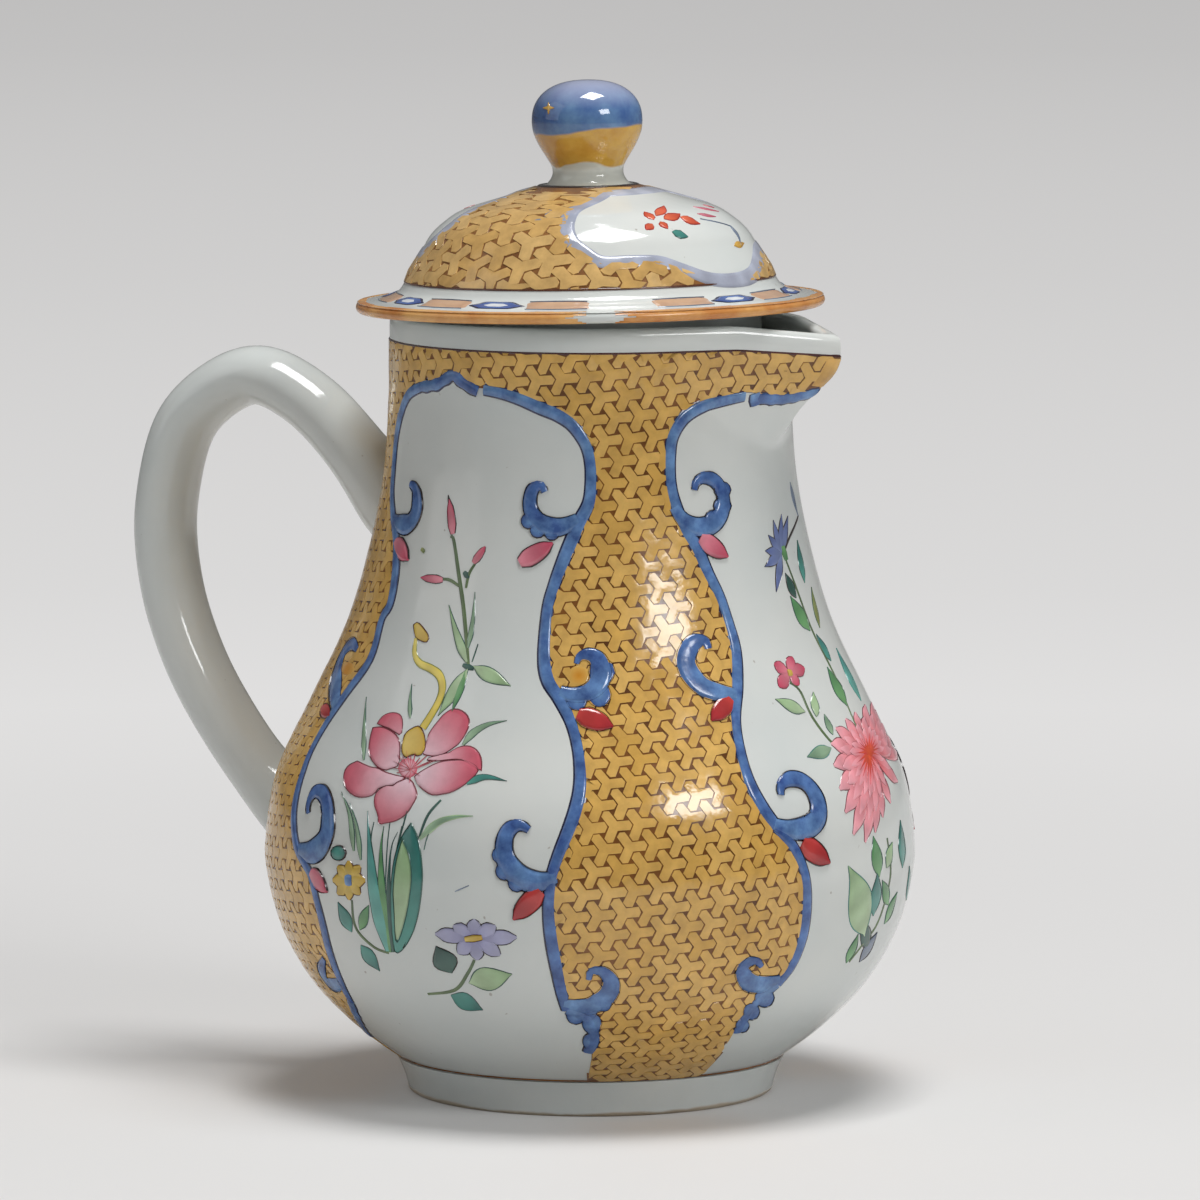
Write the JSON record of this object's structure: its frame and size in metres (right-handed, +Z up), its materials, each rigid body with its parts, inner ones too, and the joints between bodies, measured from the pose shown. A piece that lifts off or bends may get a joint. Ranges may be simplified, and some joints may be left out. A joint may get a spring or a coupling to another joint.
{
  "type": "cream jug",
  "caption": "Small pear-shaped porcelain cream jug with a pinched beak, loop handle, foot ring and a domed lift-off cover with a round knob.",
  "frame": {"origin": "on the table under the middle of the whole jug, taken over its outer box", "axes": "+Z up; +X towards the beak; the handle is on the -X side; the jug is mirror-symmetric about the XZ plane"},
  "size_m": [0.1118, 0.0866, 0.135],
  "materials": {
    "white_glaze": "glossy white porcelain glaze with a faint blue-grey tone",
    "yellow_enamel": "glossy raised ochre-yellow enamel",
    "amber_enamel": "glossy amber enamel",
    "blue_enamel": "glossy blue enamel",
    "rose_enamel": "glossy rose enamel",
    "green_enamel": "glossy green enamel",
    "brown_line": "satin brown painted line"
  },
  "bodies": {
    "jug": {"foot_ring": "white_glaze", "pot": "yellow_enamel", "beak_lip": "white_glaze", "handle": "white_glaze"},
    "lid": {"cover": "amber_enamel", "cover_seat_ring": "white_glaze", "cover_knob": "blue_enamel"}
  },
  "joints": [
    {"name": "lid_lift", "type": "slide", "parent": "jug", "child": "lid", "axis": [0, 0, 1], "range_m": [0, 0.06]}
  ]
}
